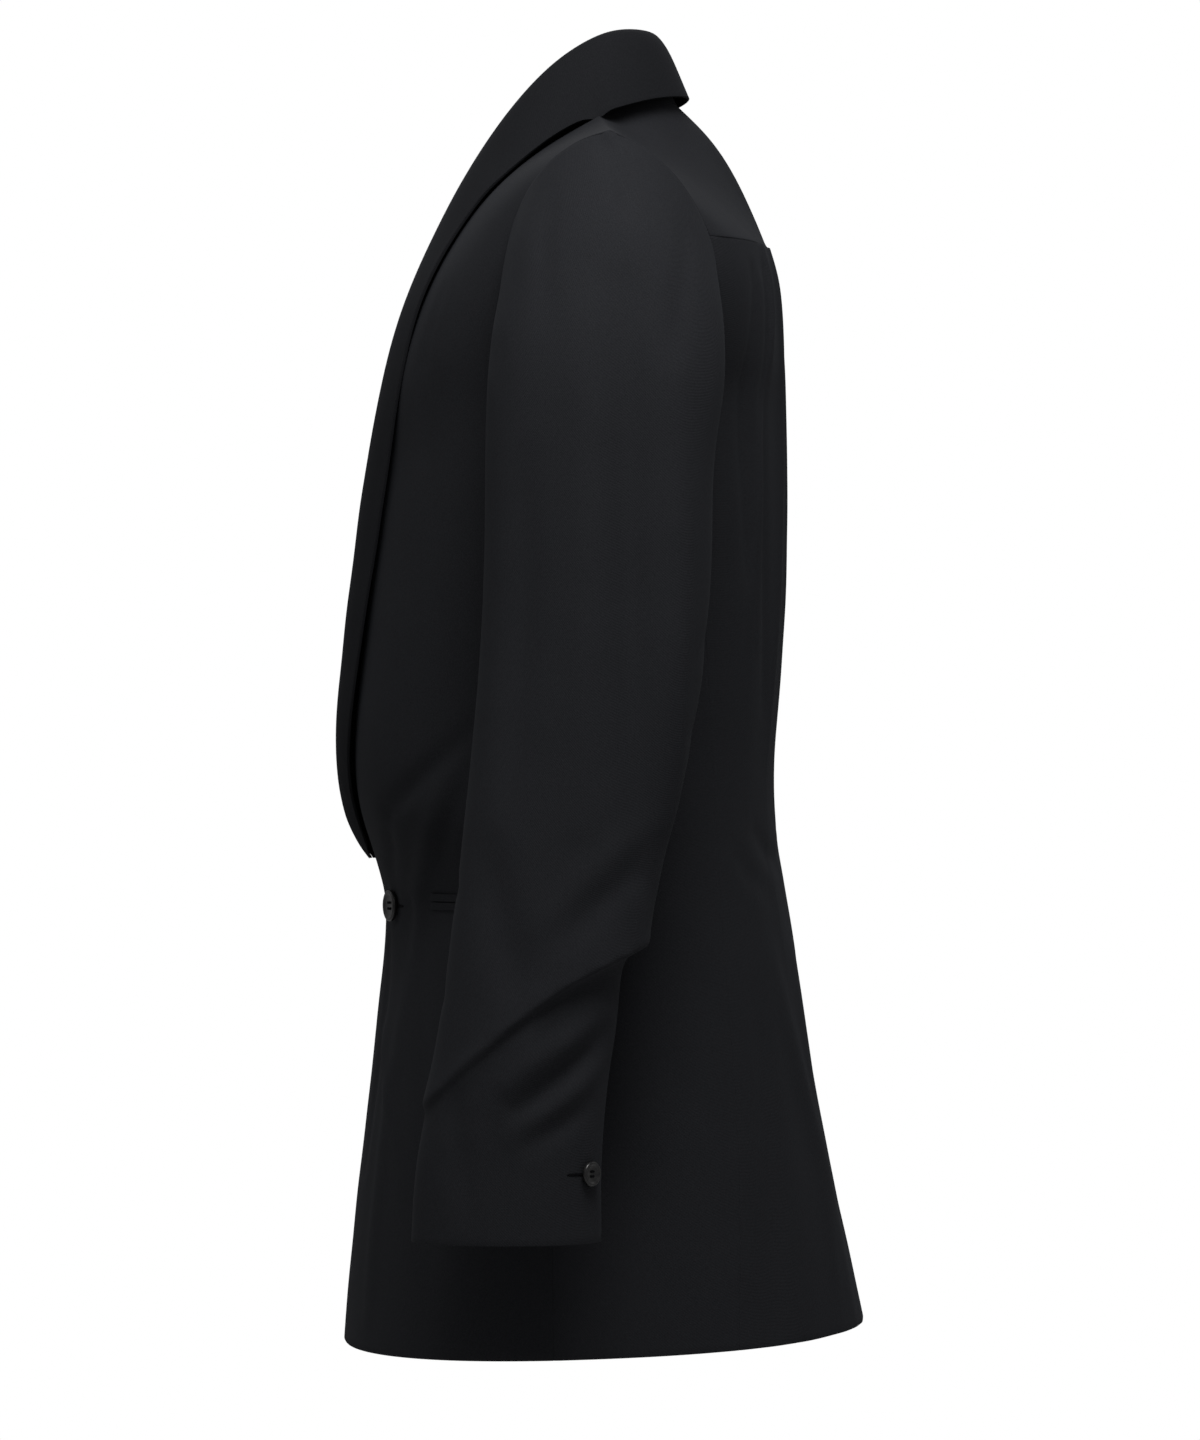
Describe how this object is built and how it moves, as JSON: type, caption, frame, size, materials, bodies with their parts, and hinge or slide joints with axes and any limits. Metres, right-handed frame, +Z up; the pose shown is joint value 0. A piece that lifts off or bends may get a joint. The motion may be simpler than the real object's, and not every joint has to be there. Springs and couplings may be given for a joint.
{
  "type": "shawl collar jacket",
  "caption": "Hip-length jacket in its worn, hollow form, with a rolled shawl collar, one-button front, jetted pockets, two-piece sleeves and soft pleats below a back yoke.",
  "frame": {"origin": "middle of the neck opening, level with the shoulders, where the wearer's shoulders hold the jacket", "axes": "+Z up, -Y to the wearer's front, +X to the wearer's left"},
  "size_m": [0.6418, 0.3386, 0.8327],
  "materials": {
    "wool": "matte black fine wool suiting",
    "button": "dark polished horn look"
  },
  "bodies": {
    "root": {"front_left": "wool", "front_right": "wool", "side_left": "wool", "side_right": "wool", "back": "wool", "yoke": "wool", "shawl_collar": "wool", "upper_sleeve_left": "wool", "upper_sleeve_right": "wool", "under_sleeve_left": "wool", "under_sleeve_right": "wool", "pocket_jet_upper_left": "wool", "pocket_jet_lower_left": "wool", "pocket_jet_upper_right": "wool", "pocket_jet_lower_right": "wool", "front_button": "button", "cuff_button_left": "button", "cuff_button_right": "button"}
  },
  "joints": []
}
